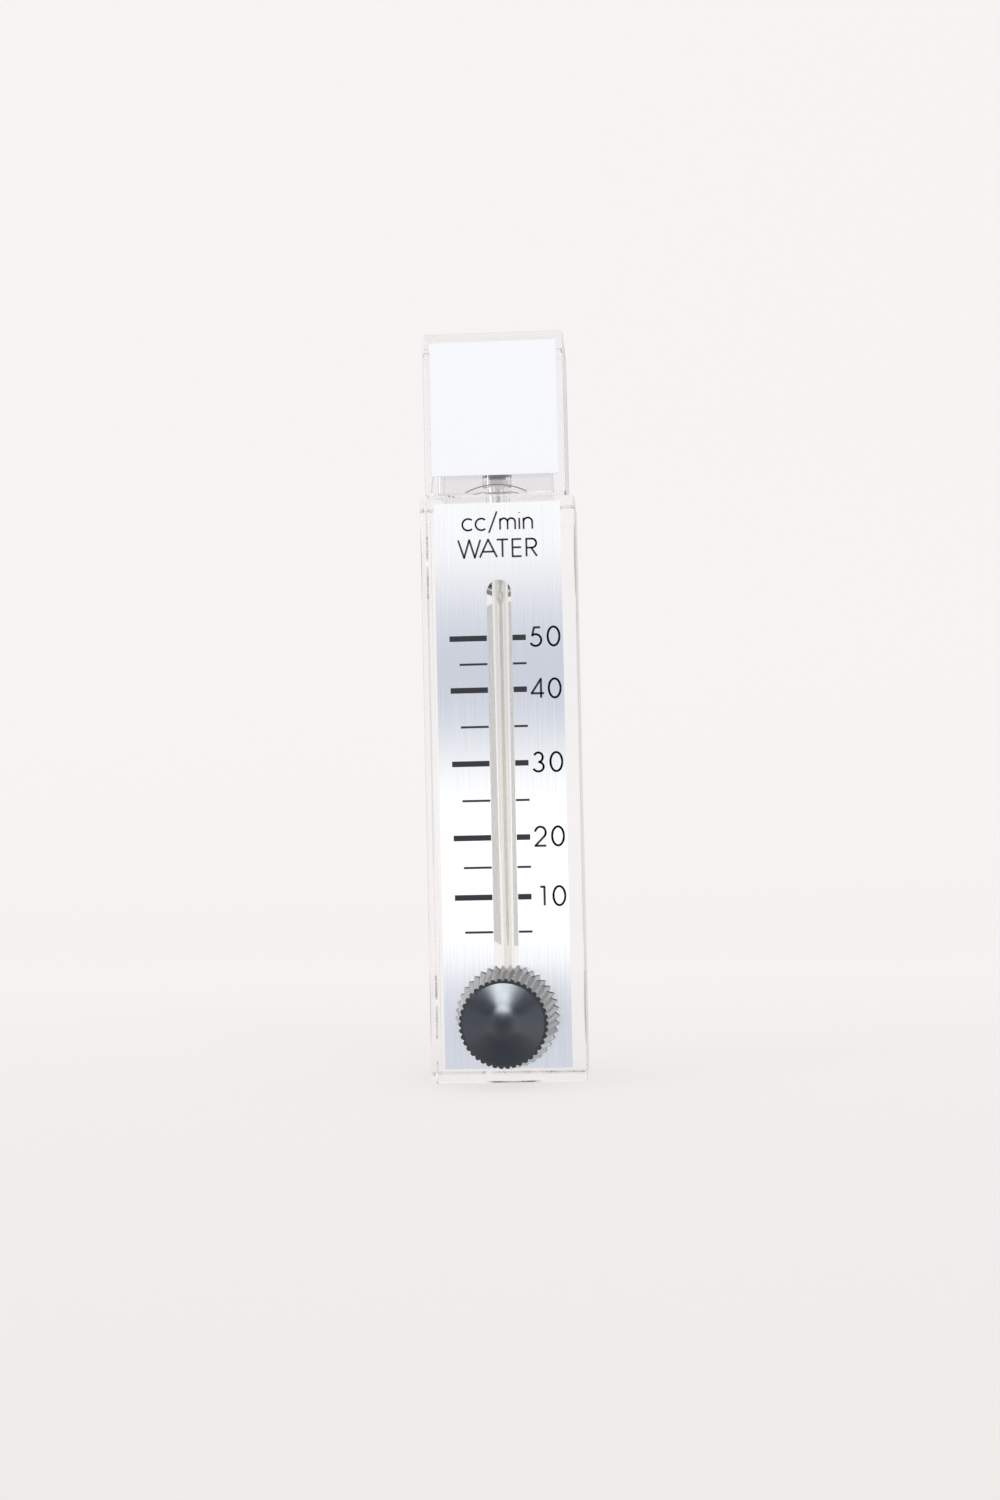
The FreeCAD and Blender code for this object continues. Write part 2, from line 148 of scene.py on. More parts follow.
# %% [markdown]
# ## Stage
# A sheet of pale paper runs back under the meter and curves up behind it, so no horizon
# shows. Its colour is mixed from two things: paper that takes the object's shadow, and a
# glow that keeps the sheet pale, darkened a little towards the front as painted shade. Only
# the camera and the clear parts see the sheet. It neither bounces nor blocks light, so the
# light on the meter comes from the tent and the lamps alone.

# %% Paper sweep
PAPER = (0.90, 0.868, 0.845)
# The near glow colour is painted shade: the sheet's glow darkens towards the front.
GLOW, GLOW_NEAR_SHADED, GLOW_SHARE = (0.965, 0.935, 0.93, 1), (0.86, 0.83, 0.82, 1), 0.75
GLOW_NEAR_Y, GLOW_FAR_Y = -0.25, 0.2  # where the glow starts to brighten and is full
SWEEP_FRONT, SWEEP_BACK, SWEEP_RADIUS, SWEEP_TOP, SWEEP_SIDE = -1.2, 0.75, 0.25, 1.5, 1.6
SWEEP_STEPS = 16


def sweep_profile():
    """(y, z) points of the sheet: level, a quarter turn, then upright."""
    floor = cad_low.z
    points = [(SWEEP_FRONT, floor), (SWEEP_BACK - SWEEP_RADIUS, floor)]
    for step in range(1, SWEEP_STEPS + 1):
        turn = math.pi / 2 * step / SWEEP_STEPS
        points.append((
            SWEEP_BACK - SWEEP_RADIUS + SWEEP_RADIUS * math.sin(turn),
            floor + SWEEP_RADIUS * (1 - math.cos(turn)),
        ))
    points.append((SWEEP_BACK, SWEEP_TOP))
    return points


def paper_material():
    material, tree, shader = finish("studio_paper", PAPER, Roughness=0.9)
    path = add(tree, "ShaderNodeLightPath")
    seen = add(tree, "ShaderNodeMath", operation="MAXIMUM")
    join(tree, path.outputs["Is Camera Ray"], seen.inputs[0])
    join(tree, path.outputs["Is Transmission Ray"], seen.inputs[1])
    share = add(tree, "ShaderNodeMath", operation="MULTIPLY")
    share.inputs[1].default_value = GLOW_SHARE
    join(tree, seen.outputs[0], share.inputs[0])
    place = add(tree, "ShaderNodeTexCoord")
    apart = add(tree, "ShaderNodeSeparateXYZ")
    join(tree, place.outputs["Object"], apart.inputs[0])
    back = fill(add(tree, "ShaderNodeMapRange"), From_Min=GLOW_NEAR_Y, From_Max=GLOW_FAR_Y)
    join(tree, apart.outputs["Y"], back.inputs["Value"])
    front_shade = add(tree, "ShaderNodeMix", data_type="RGBA")
    front_shade.inputs["A"].default_value = GLOW_NEAR_SHADED
    front_shade.inputs["B"].default_value = GLOW
    join(tree, back.outputs["Result"], front_shade.inputs["Factor"])
    glow = add(tree, "ShaderNodeEmission")
    join(tree, front_shade.outputs["Result"], glow.inputs["Color"])
    mix = add(tree, "ShaderNodeMixShader")
    join(tree, share.outputs[0], mix.inputs[0])
    join(tree, shader.outputs[0], mix.inputs[1])
    join(tree, glow.outputs[0], mix.inputs[2])
    join(tree, mix.outputs[0], tree.nodes["Material Output"].inputs["Surface"])
    return material


def make_sweep():
    mesh = bmesh.new()
    rows = []
    for y, z in sweep_profile():
        rows.append([mesh.verts.new((side * SWEEP_SIDE, y, z)) for side in (-1, 1)])
    for below, above in zip(rows, rows[1:]):
        mesh.faces.new((below[0], below[1], above[1], above[0])).smooth = True
    data = bpy.data.meshes.new("paper_sweep")
    mesh.to_mesh(data)
    mesh.free()
    data.materials.append(paper_material())
    sweep = bpy.data.objects.new("paper_sweep", data)
    sweep.visible_diffuse = sweep.visible_glossy = sweep.visible_shadow = False
    scene.collection.objects.link(sweep)


make_sweep()
print("paper sweep at z =", round(cad_low.z, 4))

# %% [markdown]
# ## Light
# The room is a soft white tent. Straight ahead of the meter the tent has brighter and darker
# bands, and the brushed plate mirrors them: that is what gives metal its bands of white and
# blue grey. A world shader paints the tent by direction, so it costs nothing to render.

# %% Tent of light
TENT_BANDS = [
    # (degrees above level, brightness) of what the plate mirrors
    (-14.0, 0.70),
    (-5.2, 0.74),
    (-4.4, 0.82),
    (-3.8, 1.18),
    (0.9, 1.18),
    (1.4, 1.04),
    (2.0, 0.88),
    (2.9, 0.73),
    (3.9, 0.66),
    (5.0, 0.68),
    (6.1, 0.82),
    (6.8, 0.98),
    (7.4, 1.06),
    (14.0, 1.06),
]
TENT_SIDE = 0.72
TENT_PEAK = 1.3  # the ramp holds brightness as a share of this
TENT_AHEAD, TENT_FULL = -0.75, -0.9  # Y of directions where the bands start and are full
SHADE_TINT = (-0.20, -0.06, 0.32)  # what a dark band adds to red, green and blue


def tent_bands(tree, direction):
    """Brightness by height above level, for directions ahead of the meter."""
    apart = add(tree, "ShaderNodeSeparateXYZ")
    join(tree, direction, apart.inputs[0])
    low, high = (math.sin(math.radians(TENT_BANDS[end][0])) for end in (0, -1))
    spread = fill(add(tree, "ShaderNodeMapRange"), From_Min=low, From_Max=high)
    join(tree, apart.outputs["Z"], spread.inputs["Value"])
    ramp = add(tree, "ShaderNodeValToRGB")
    stops = ramp.color_ramp.elements
    while len(stops) < len(TENT_BANDS):
        stops.new(0.5)
    for stop, (degrees, bright) in zip(stops, TENT_BANDS):
        stop.position = (math.sin(math.radians(degrees)) - low) / (high - low)
        shade = max(0.0, 1.0 - bright)
        stop.color = (*(bright / TENT_PEAK * (1 + tint * shade) for tint in SHADE_TINT), 1)
    join(tree, spread.outputs["Result"], ramp.inputs["Fac"])
    return apart, ramp


def make_tent():
    world = bpy.data.worlds.new("tent")
    world.use_nodes = True
    scene.world = world
    tree = world.node_tree
    background = tree.nodes["Background"]
    place = add(tree, "ShaderNodeTexCoord")
    apart, ramp = tent_bands(tree, place.outputs["Generated"])
    ahead = fill(
        add(tree, "ShaderNodeMapRange", interpolation_type="SMOOTHSTEP"),
        From_Min=TENT_AHEAD, From_Max=TENT_FULL,
    )
    join(tree, apart.outputs["Y"], ahead.inputs["Value"])
    bright = add(tree, "ShaderNodeMix", data_type="RGBA")
    bright.inputs["A"].default_value = (TENT_SIDE, TENT_SIDE, TENT_SIDE, 1)
    level = add(tree, "ShaderNodeVectorMath", operation="SCALE")
    level.inputs["Scale"].default_value = TENT_PEAK
    join(tree, ramp.outputs["Color"], level.inputs[0])
    join(tree, ahead.outputs["Result"], bright.inputs["Factor"])
    join(tree, level.outputs[0], bright.inputs["B"])
    join(tree, bright.outputs["Result"], background.inputs["Color"])
    seen = fill(add(tree, "ShaderNodeBackground"), Color=(*PAPER, 1))
    path = add(tree, "ShaderNodeLightPath")
    mix = add(tree, "ShaderNodeMixShader")
    join(tree, path.outputs["Is Camera Ray"], mix.inputs[0])
    join(tree, background.outputs[0], mix.inputs[1])
    join(tree, seen.outputs[0], mix.inputs[2])
    join(tree, mix.outputs[0], tree.nodes["World Output"].inputs["Surface"])


def make_lamp(name, place, target, size, power):
    """A soft square lamp at a place, turned to a target, all in metres."""
    place = Vector(place)
    lamp = bpy.data.lights.new(name, "AREA")
    lamp.size = size
    lamp.energy = power
    holder = bpy.data.objects.new(name, lamp)
    holder.location = place
    holder.rotation_euler = (Vector(target) - place).to_track_quat("-Z", "Y").to_euler()
    scene.collection.objects.link(holder)
    return holder


make_tent()
middle = (cad_low + cad_high) / 2
make_lamp("front_soft", (0.35, -0.9, 0.85), middle, 0.7, 3.0)
make_lamp("left_soft", (-0.9, -0.5, 0.5), middle, 0.6, 2.0)

# %% [markdown]
# ## Shared effects
# Several finishes need the same two effects, so each is a node group with named inputs:
# long fine streaks for metal brushed along its length, and faint handling marks that make a
# moulded or turned surface a little uneven in its gloss.

# %% Node groups
def new_group(name, inputs, outputs):
    """An empty shader group. Returns (group, input node, output node)."""
    group = bpy.data.node_groups.new(name, "ShaderNodeTree")
    for label, kind, value in inputs:
        group.interface.new_socket(label, in_out="INPUT", socket_type=kind).default_value = value
    for label, kind in outputs:
        group.interface.new_socket(label, in_out="OUTPUT", socket_type=kind)
    return group, group.nodes.new("NodeGroupInput"), group.nodes.new("NodeGroupOutput")


def streak_group():
    """Streaks along Z: a mask from 0 to 1, and a normal that tilts across them."""
    group, given, out = new_group(
        "brushed_streaks",
        [("Fineness", "NodeSocketFloat", 9000.0), ("Length", "NodeSocketFloat", 260.0),
         ("Depth", "NodeSocketFloat", 0.2)],
        [("Streaks", "NodeSocketFloat"), ("Normal", "NodeSocketVector")],
    )
    place = add(group, "ShaderNodeTexCoord")
    scale = add(group, "ShaderNodeCombineXYZ")
    join(group, given.outputs["Fineness"], scale.inputs["X"])
    join(group, given.outputs["Fineness"], scale.inputs["Y"])
    join(group, given.outputs["Length"], scale.inputs["Z"])
    stretched = add(group, "ShaderNodeVectorMath", operation="MULTIPLY")
    join(group, place.outputs["Object"], stretched.inputs[0])
    join(group, scale.outputs[0], stretched.inputs[1])
    noise = fill(add(group, "ShaderNodeTexNoise"), Scale=1.0, Detail=3.0, Roughness=0.62)
    join(group, stretched.outputs[0], noise.inputs["Vector"])
    bump = fill(add(group, "ShaderNodeBump"), Distance=0.00002)
    join(group, given.outputs["Depth"], bump.inputs["Strength"])
    join(group, noise.outputs["Fac"], bump.inputs["Height"])
    join(group, noise.outputs["Fac"], out.inputs["Streaks"])
    join(group, bump.outputs["Normal"], out.inputs["Normal"])
    return group


def marks_group():
    """Handling marks: a broad cloudy mask with fine specks in it, and a slight waviness."""
    group, given, out = new_group(
        "handling_marks",
        [("Size", "NodeSocketFloat", 120.0), ("Low", "NodeSocketFloat", 0.1),
         ("High", "NodeSocketFloat", 0.2), ("Waviness", "NodeSocketFloat", 0.05)],
        [("Roughness", "NodeSocketFloat"), ("Normal", "NodeSocketVector")],
    )
    place = add(group, "ShaderNodeTexCoord")
    broad = fill(add(group, "ShaderNodeTexNoise"), Detail=4.0, Roughness=0.6)
    join(group, place.outputs["Object"], broad.inputs["Vector"])
    join(group, given.outputs["Size"], broad.inputs["Scale"])
    spread = fill(add(group, "ShaderNodeMapRange"), From_Min=0.3, From_Max=0.7)
    join(group, broad.outputs["Fac"], spread.inputs["Value"])
    join(group, given.outputs["Low"], spread.inputs["To Min"])
    join(group, given.outputs["High"], spread.inputs["To Max"])
    bump = fill(add(group, "ShaderNodeBump"), Distance=0.0001)
    join(group, given.outputs["Waviness"], bump.inputs["Strength"])
    join(group, broad.outputs["Fac"], bump.inputs["Height"])
    join(group, spread.outputs["Result"], out.inputs["Roughness"])
    join(group, bump.outputs["Normal"], out.inputs["Normal"])
    return group


STREAKS = streak_group()
MARKS = marks_group()


def place_group(tree, group, **sockets):
    """A copy of a group in a material, with its own values."""
    node = add(tree, "ShaderNodeGroup", node_tree=group)
    return fill(node, **sockets)


print("groups:", STREAKS.name, MARKS.name)

# %% [markdown]
# ## Clear plastic
# The block and its cap are moulded in a polished clear plastic with a high index of
# refraction, about 1.58. Real refraction matters here: it is what draws the grey edges and
# shows the bore as a narrow band between two bright ones. The surface itself is only very
# slightly wavy, as moulded faces are. The bore's wall is a shade creamier than the block, so
# the bore reads as a soft band.

# %% Clear plastic
scene.cycles.max_bounces = 32
scene.cycles.glossy_bounces = 24
scene.cycles.transmission_bounces = 24


def clear_plastic(name, colour):
    material, tree, shader = finish(
        name, colour, Roughness=0.02, IOR=1.58, Transmission_Weight=1.0,
    )
    marks = place_group(tree, MARKS, Size=90.0, Low=0.006, High=0.03, Waviness=0.004)
    join(tree, marks.outputs["Roughness"], shader.inputs["Roughness"])
    join(tree, marks.outputs["Normal"], shader.inputs["Normal"])
    return material


CLEAR_BLOCK = clear_plastic("clear_block", (0.98, 0.983, 0.98))
CLEAR_CAP = clear_plastic("clear_cap", (0.945, 0.945, 0.958))
BORE_WALL = clear_plastic("bore_wall", (0.86, 0.85, 0.80))

# %% [markdown]
# ## Metals
# The plate is aluminium, brushed along its length and left bright. Brushing spreads a
# reflection across the grain and keeps it sharp along it, which is what an anisotropic
# shader does. The plug, stem and float are steel and the threaded pieces are nickel plated
# brass, all with the fine rings that turning leaves.

# %% Metals
def brushed_metal():
    material, tree, shader = finish(
        "brushed_scale", (0.92, 0.925, 0.94), Metallic=1.0, Roughness=0.15, Anisotropic=1.0,
    )
    streaks = place_group(tree, STREAKS, Fineness=13000.0, Length=70.0, Depth=0.2)
    tone = add(tree, "ShaderNodeValToRGB")
    tone.color_ramp.elements[0].position = 0.3
    tone.color_ramp.elements[0].color = (0.83, 0.84, 0.87, 1)
    tone.color_ramp.elements[1].position = 0.62
    tone.color_ramp.elements[1].color = (0.95, 0.955, 0.965, 1)
    join(tree, streaks.outputs["Streaks"], tone.inputs["Fac"])
    join(tree, tone.outputs["Color"], shader.inputs["Base Color"])
    tangent = add(tree, "ShaderNodeTangent", direction_type="RADIAL", axis="Z")
    join(tree, tangent.outputs[0], shader.inputs["Tangent"])
    join(tree, streaks.outputs["Normal"], shader.inputs["Normal"])
    return material


def turned_metal(name, colour, low, high, axis, painted_light=0.0):
    """Metal with fine rings across the axis that it was turned about; its emission is painted
    light.
    """
    material, tree, shader = finish(
        name, colour, Metallic=1.0, Roughness=low,
        Emission_Color=(*colour, 1), Emission_Strength=painted_light,
    )
    marks = place_group(tree, MARKS, Size=400.0, Low=low, High=high, Waviness=0.03)
    join(tree, marks.outputs["Roughness"], shader.inputs["Roughness"])
    place = add(tree, "ShaderNodeTexCoord")
    rings = fill(
        add(tree, "ShaderNodeTexWave", wave_type="BANDS", bands_direction=axis),
        Scale=2600.0, Distortion=1.5, Detail=2.0,
    )
    join(tree, place.outputs["Object"], rings.inputs["Vector"])
    bump = fill(add(tree, "ShaderNodeBump"), Strength=0.08, Distance=0.00002)
    join(tree, rings.outputs["Fac"], bump.inputs["Height"])
    join(tree, bump.outputs["Normal"], shader.inputs["Normal"])
    return material


BRUSHED_SCALE = brushed_metal()
# The upright steel and the plated brass get a slight emission: painted light that brightens them.
STEEL_UPRIGHT = turned_metal("turned_steel_upright", (0.88, 0.86, 0.845), 0.4, 0.55, "Z", 0.12)
STEEL_LEVEL = turned_metal("turned_steel_level", (0.74, 0.73, 0.715), 0.18, 0.3, "Y")
PLATED = turned_metal("plated_brass", (0.82, 0.805, 0.775), 0.26, 0.38, "Y", 0.07)
FLOAT_STEEL = turned_metal("float_steel", (0.62, 0.62, 0.62), 0.05, 0.09, "Z")

# %% [markdown]
# ## Card, strip, rubber and knob
# The card behind the cap's window is smooth white stock. The strip behind the bore is a
# creamy white plastic. Seal rings are grey rubber with a dull sheen. The knob is black
# moulded plastic, glossy on its face; its flanks get a grey painted sheen for the grazing
# reflection there, with fine moulding lines along every tooth.

# %% Card, strip, rubber and knob
def soft_finish(name, colour, roughness, size, waviness, glow=0.0):
    """A matt finish whose gloss wanders a little. Glow is painted light: an emission for light
    coming through.
    """
    material, tree, shader = finish(
        name, colour, Roughness=roughness, Emission_Color=(*colour, 1), Emission_Strength=glow,
    )
    marks = place_group(
        tree, MARKS, Size=size, Low=roughness - 0.06, High=roughness + 0.08, Waviness=waviness,
    )
    join(tree, marks.outputs["Roughness"], shader.inputs["Roughness"])
    join(tree, marks.outputs["Normal"], shader.inputs["Normal"])
    return material


# The card and the strip get a slight emission: painted light that brightens them.
WHITE_CARD = soft_finish("white_card", (0.79, 0.80, 0.815), 0.5, 2500.0, 0.05, glow=0.19)
WHITE_STRIP = soft_finish("white_strip", (0.92, 0.908, 0.875), 0.55, 900.0, 0.05, glow=0.32)
SEAL_RUBBER = soft_finish("seal_rubber", (0.40, 0.40, 0.41), 0.5, 1500.0, 0.1)
INK = soft_finish("scale_ink", (0.012, 0.013, 0.02), 0.35, 2000.0, 0.05)

# The flank colours are a painted sheen: grey where the black surface turns to the side, for the
# pale room it mirrors at a grazing angle.
FLANK_SHEEN_DARK = (0.10, 0.10, 0.098, 1)
FLANK_SHEEN_LIGHT = (0.18, 0.18, 0.176, 1)
KNOB_BLACK = (0.009, 0.0105, 0.016)
FACE_TILT, FLANK_TILT = -0.8, -0.3  # Y of the normal where black gives way to flank grey


def knob_plastic():
    """Black on the face; where the surface turns to the side, a grey painted sheen, finely lined.
    """
    material, tree, shader = finish(
        "knob_plastic", KNOB_BLACK, Roughness=0.12, Specular_Tint=(0.86, 0.93, 1.0, 1),
    )
    marks = place_group(tree, MARKS, Size=260.0, Low=0.09, High=0.15, Waviness=0.015)
    join(tree, marks.outputs["Roughness"], shader.inputs["Roughness"])
    join(tree, marks.outputs["Normal"], shader.inputs["Normal"])
    place = add(tree, "ShaderNodeTexCoord")
    facing = add(tree, "ShaderNodeSeparateXYZ")
    join(tree, place.outputs["Normal"], facing.inputs[0])
    sheen_mask = fill(add(tree, "ShaderNodeMapRange"), From_Min=FACE_TILT, From_Max=FLANK_TILT)
    join(tree, facing.outputs["Y"], sheen_mask.inputs["Value"])
    lines = fill(
        add(tree, "ShaderNodeTexWave", wave_type="RINGS", rings_direction="Y"),
        Scale=900.0, Distortion=3.0, Detail=3.0,
    )
    join(tree, place.outputs["Object"], lines.inputs["Vector"])
    flank_sheen = add(tree, "ShaderNodeMix", data_type="RGBA")
    flank_sheen.inputs["A"].default_value = FLANK_SHEEN_DARK
    flank_sheen.inputs["B"].default_value = FLANK_SHEEN_LIGHT
    join(tree, lines.outputs["Fac"], flank_sheen.inputs["Factor"])
    tone = add(tree, "ShaderNodeMix", data_type="RGBA")
    tone.inputs["A"].default_value = (*KNOB_BLACK, 1)
    join(tree, sheen_mask.outputs["Result"], tone.inputs["Factor"])
    join(tree, flank_sheen.outputs["Result"], tone.inputs["B"])
    join(tree, tone.outputs["Result"], shader.inputs["Base Color"])
    return material


KNOB_PLASTIC = knob_plastic()
print(len(bpy.data.materials), "materials")

# %% [markdown]
# ## Dressing the CAD pieces
# A CAD node's mesh is loose triangles with flat faces, which is right for flat work and
# wrong for a clear turned bore, where every facet would show. For those pieces a merged copy
# is shaded smooth wherever two faces meet at a gentle angle, and stands for the node.

# %% Smooth copies
GENTLE = math.radians(24)
MERGE_REACH = 1e-7
BORE_REACH = 1.45  # just over the bore's widest radius, in float radii
WALL_TILT = 0.5  # a bore's wall has less than this of its normal along Z
AIR_GAP, SAME_PLANE = 0.02 * MM, 0.001 * MM
COPIES = {
    "flow_body": ("meter", CLEAR_BLOCK, "clear_block"),
    "slip_cap": ("cap", CLEAR_CAP, "clear_cap"),
    "plug_ball_stop": ("meter", STEEL_UPRIGHT, "turned_steel"),
    "plug_o_ring": ("meter", SEAL_RUBBER, "seal_rubber"),
    "float_ball": ("float", FLOAT_STEEL, "float_steel"),
    "inlet_insert": ("meter", PLATED, "plated_brass"),
    "outlet_insert": ("meter", PLATED, "plated_brass"),
    "inlet_o_ring": ("meter", SEAL_RUBBER, "seal_rubber"),
    "outlet_o_ring": ("meter", SEAL_RUBBER, "seal_rubber"),
    "valve_seat": ("meter", PLATED, "plated_brass"),
    "valve_bushing": ("meter", PLATED, "plated_brass"),
    "bushing_o_ring": ("meter", SEAL_RUBBER, "seal_rubber"),
    "stem_o_ring": ("stem_carriage", SEAL_RUBBER, "seal_rubber"),
    "valve_stem": ("valve", STEEL_LEVEL, "turned_steel"),
    "knob": ("valve", KNOB_PLASTIC, "knob_plastic"),
    "knob_insert": ("valve", PLATED, "plated_brass"),
}


def merged_copy(node_name):
    """A CAD node's mesh with its corners merged, smooth where faces meet gently."""
    mesh = bmesh.new()
    mesh.from_mesh(nodes[node_name].data)
    bmesh.ops.remove_doubles(mesh, verts=mesh.verts, dist=MERGE_REACH)
    for face in mesh.faces:
        face.smooth = True
    for edge in mesh.edges:
        edge.smooth = len(edge.link_faces) == 2 and edge.calc_face_angle(0) < GENTLE
    return mesh


def smooth_piece(node_name, body, material, slot):
    mesh = merged_copy(node_name)
    data = bpy.data.meshes.new(node_name + "_smooth")
    mesh.to_mesh(data)
    mesh.free()
    data.materials.append(material)
    piece = bpy.data.objects.new(node_name + "_smooth", data)
    scene.collection.objects.link(piece)
    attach(piece, body)
    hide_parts(node_name)
    return piece


def part_faces(clear, y, way):
    """Leaves a hair of air behind what lies flat on a clear piece's face at y."""
    for corner in clear.data.vertices:
        if abs(corner.co.y - y) < SAME_PLANE:
            corner.co.y += way * AIR_GAP


def tint_bore(block):
    """Gives the faces of the metering bore's wall their own finish, about the float's axis."""
    block.data.materials.append(BORE_WALL)
    low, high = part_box("float_ball")
    axis = (low + high) / 2
    reach = BORE_REACH * (high.x - low.x) / 2
    for face in block.data.polygons:
        off = Vector((face.center.x - axis.x, face.center.y - axis.y))
        upright = abs(face.normal.z) < WALL_TILT
        if off.length < reach and upright and face.center.z > low.z:
            face.material_index = 1


copies = {name: smooth_piece(name, *values) for name, values in COPIES.items()}
tint_bore(copies["flow_body"])
part_faces(copies["flow_body"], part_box("scale_plate")[1].y, 1)
part_faces(copies["flow_body"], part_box("backing_strip")[0].y, -1)
part_faces(copies["slip_cap"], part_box("cap_label")[1].y, 1)
dress("scale_plate", BRUSHED_SCALE)
dress("cap_label", WHITE_CARD)
dress("backing_strip", WHITE_STRIP)
print("smooth copies of", len(copies), "nodes")

# %% [markdown]
# ## Light on the knob's face
# The face is a shallow dish, and each part of it mirrors its own patch of the room. A small
# bright lamp low in front shows as a wedge of light above the middle, and two soft ones show
# as a faint sheen on either side. They light the knob alone, so the plate keeps its bands.

# %% Knob lamps
KNOB_LAMP_REACH = 0.8  # metres from the face to each lamp
KNOB_LAMPS = {
    # name: (where on the face in knob radii, way to the lamp, size in metres, power in watts)
    "wedge_glint": ((0, 0.5), (-0.061, -0.974, -0.219), 0.066, 0.34),
    "left_sheen": ((-0.6, 0), (0.060, -0.994, -0.097), 0.10, 0.035),
    "right_sheen": ((0.6, 0), (-0.180, -0.979, -0.097), 0.10, 0.05),
}
knob_low, knob_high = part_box("knob")
lit_by_knob_lamps = bpy.data.collections.new("lit_by_knob_lamps")
lit_by_knob_lamps.objects.link(copies["knob"])
for name, (spot, way, size, power) in KNOB_LAMPS.items():
    target = Vector((spot[0] * knob_high.x, knob_low.y, spot[1] * knob_high.x))
    lamp = make_lamp(name, target + KNOB_LAMP_REACH * Vector(way), target, size, power)
    lamp.light_linking.receiver_collection = lit_by_knob_lamps
print("knob lamps:", list(KNOB_LAMPS))

# %% [markdown]
# ## Printed scale
# The marks are printed ink. A float scale isn't evenly spaced, because the bore's taper and
# the flow are not proportional, so the heights of the main marks are a short list and the
# lesser marks stand half way between them, with one more below the first. Ticks repeat, so
# Geometry Nodes make them: points at each height, and a thin bar on every point.

# %% Scale heights
MAIN_MARKS = {10: 19.45, 20: 29.18, 30: 41.32, 40: 53.38, 50: 61.9}
FIRST_MARK = 13.77
INK_THICK = 0.02
MAIN_THICK, LESSER_THICK = 0.92, 0.36
ink_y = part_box("scale_plate")[0].y


def lesser_marks():
    heights = sorted(MAIN_MARKS.values())
    return [FIRST_MARK] + [(a + b) / 2 for a, b in zip(heights, heights[1:])]


def geometry_tree(name, **inputs):
    """An empty Geometry Nodes tree with these inputs. Returns (tree, input node, output node)."""
    tree = bpy.data.node_groups.new(name, "GeometryNodeTree")
    for label, kind in {"Geometry": "Geometry", **inputs}.items():
        tree.interface.new_socket(label, in_out="INPUT", socket_type="NodeSocket" + kind)
    tree.interface.new_socket("Geometry", in_out="OUTPUT", socket_type="NodeSocketGeometry")
    return tree, tree.nodes.new("NodeGroupInput"), tree.nodes.new("NodeGroupOutput")


def tick_tree():
    """Points become bars: Width along X, Thickness along Y and Height along Z."""
    tree, given, out = geometry_tree(
        "printed_bars", Width="Float", Height="Float", Thickness="Float", Ink="Material",
    )
    size = add(tree, "ShaderNodeCombineXYZ")
    join(tree, given.outputs["Width"], size.inputs["X"])
    join(tree, given.outputs["Thickness"], size.inputs["Y"])
    join(tree, given.outputs["Height"], size.inputs["Z"])
    bar = add(tree, "GeometryNodeMeshCube")
    join(tree, size.outputs[0], bar.inputs["Size"])
    points = add(tree, "GeometryNodeMeshToPoints")
    join(tree, given.outputs["Geometry"], points.inputs["Mesh"])
    placed = add(tree, "GeometryNodeInstanceOnPoints")
    join(tree, points.outputs[0], placed.inputs["Points"])
    join(tree, bar.outputs["Mesh"], placed.inputs["Instance"])
    solid = add(tree, "GeometryNodeRealizeInstances")
    join(tree, placed.outputs[0], solid.inputs[0])
    inked = add(tree, "GeometryNodeSetMaterial")
    join(tree, solid.outputs[0], inked.inputs["Geometry"])
    join(tree, given.outputs["Ink"], inked.inputs["Material"])
    join(tree, inked.outputs[0], out.inputs[0])
    return tree


BARS = tick_tree()


def baked(source, name):
    """The evaluated object as a plain mesh object at the origin; the source is removed."""
    bpy.context.view_layer.update()
    final = source.evaluated_get(bpy.context.evaluated_depsgraph_get())
    data = bpy.data.meshes.new_from_object(final)
    data.name = name
    bpy.data.objects.remove(source)
    piece = bpy.data.objects.new(name, data)
    scene.collection.objects.link(piece)
    return piece


def set_inputs(modifier, **values):
    """Sets a Geometry Nodes modifier's inputs by their sockets' identifiers."""
    for item in modifier.node_group.interface.items_tree:
        if item.item_type == "SOCKET" and item.in_out == "INPUT" and item.name in values:
            modifier[item.identifier] = values[item.name]


def make_ticks(name, heights, left, right, thick):
    """Bars from left to right (mm from the middle) at each height."""
    data = bpy.data.meshes.new(name)
    centre = (left + right) / 2 * MM
    y = ink_y - INK_THICK * MM / 2
    data.from_pydata([(centre, y, height * MM) for height in heights], [], [])
    source = bpy.data.objects.new(name, data)
    scene.collection.objects.link(source)
    modifier = source.modifiers.new("bars", "NODES")
    modifier.node_group = BARS
    set_inputs(modifier, Width=(right - left) * MM, Height=thick * MM,
               Thickness=INK_THICK * MM, Ink=INK)
    piece = baked(source, name)
    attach(piece, "meter")


make_ticks("main_ticks_left", MAIN_MARKS.values(), -8.25, -2.1, MAIN_THICK)
make_ticks("main_ticks_right", MAIN_MARKS.values(), 2.1, 4.3, MAIN_THICK)
make_ticks("lesser_ticks_left", lesser_marks(), -6.68, -2.1, LESSER_THICK)
make_ticks("lesser_ticks_right", lesser_marks(), 2.1, 4.33, LESSER_THICK)
print("lesser marks at", [round(z, 2) for z in lesser_marks()])

# %% [markdown]
# ## Figures and words
# The lettering is a thin geometric face, drawn here as strokes: straight lines and arcs on a
# grid whose capital height is 1. Each stroke becomes a flat ribbon of even width with round
# joints, which is how such a face is engraved.

# %% Stroke alphabet
def arc(x, y, rx, ry, start, end, steps=20):
    """Points on an ellipse about (x, y), from one angle to another in degrees."""
    return [
        (x + rx * math.cos(math.radians(start + (end - start) * i / steps)),
         y + ry * math.sin(math.radians(start + (end - start) * i / steps)))
        for i in range(steps + 1)
    ]


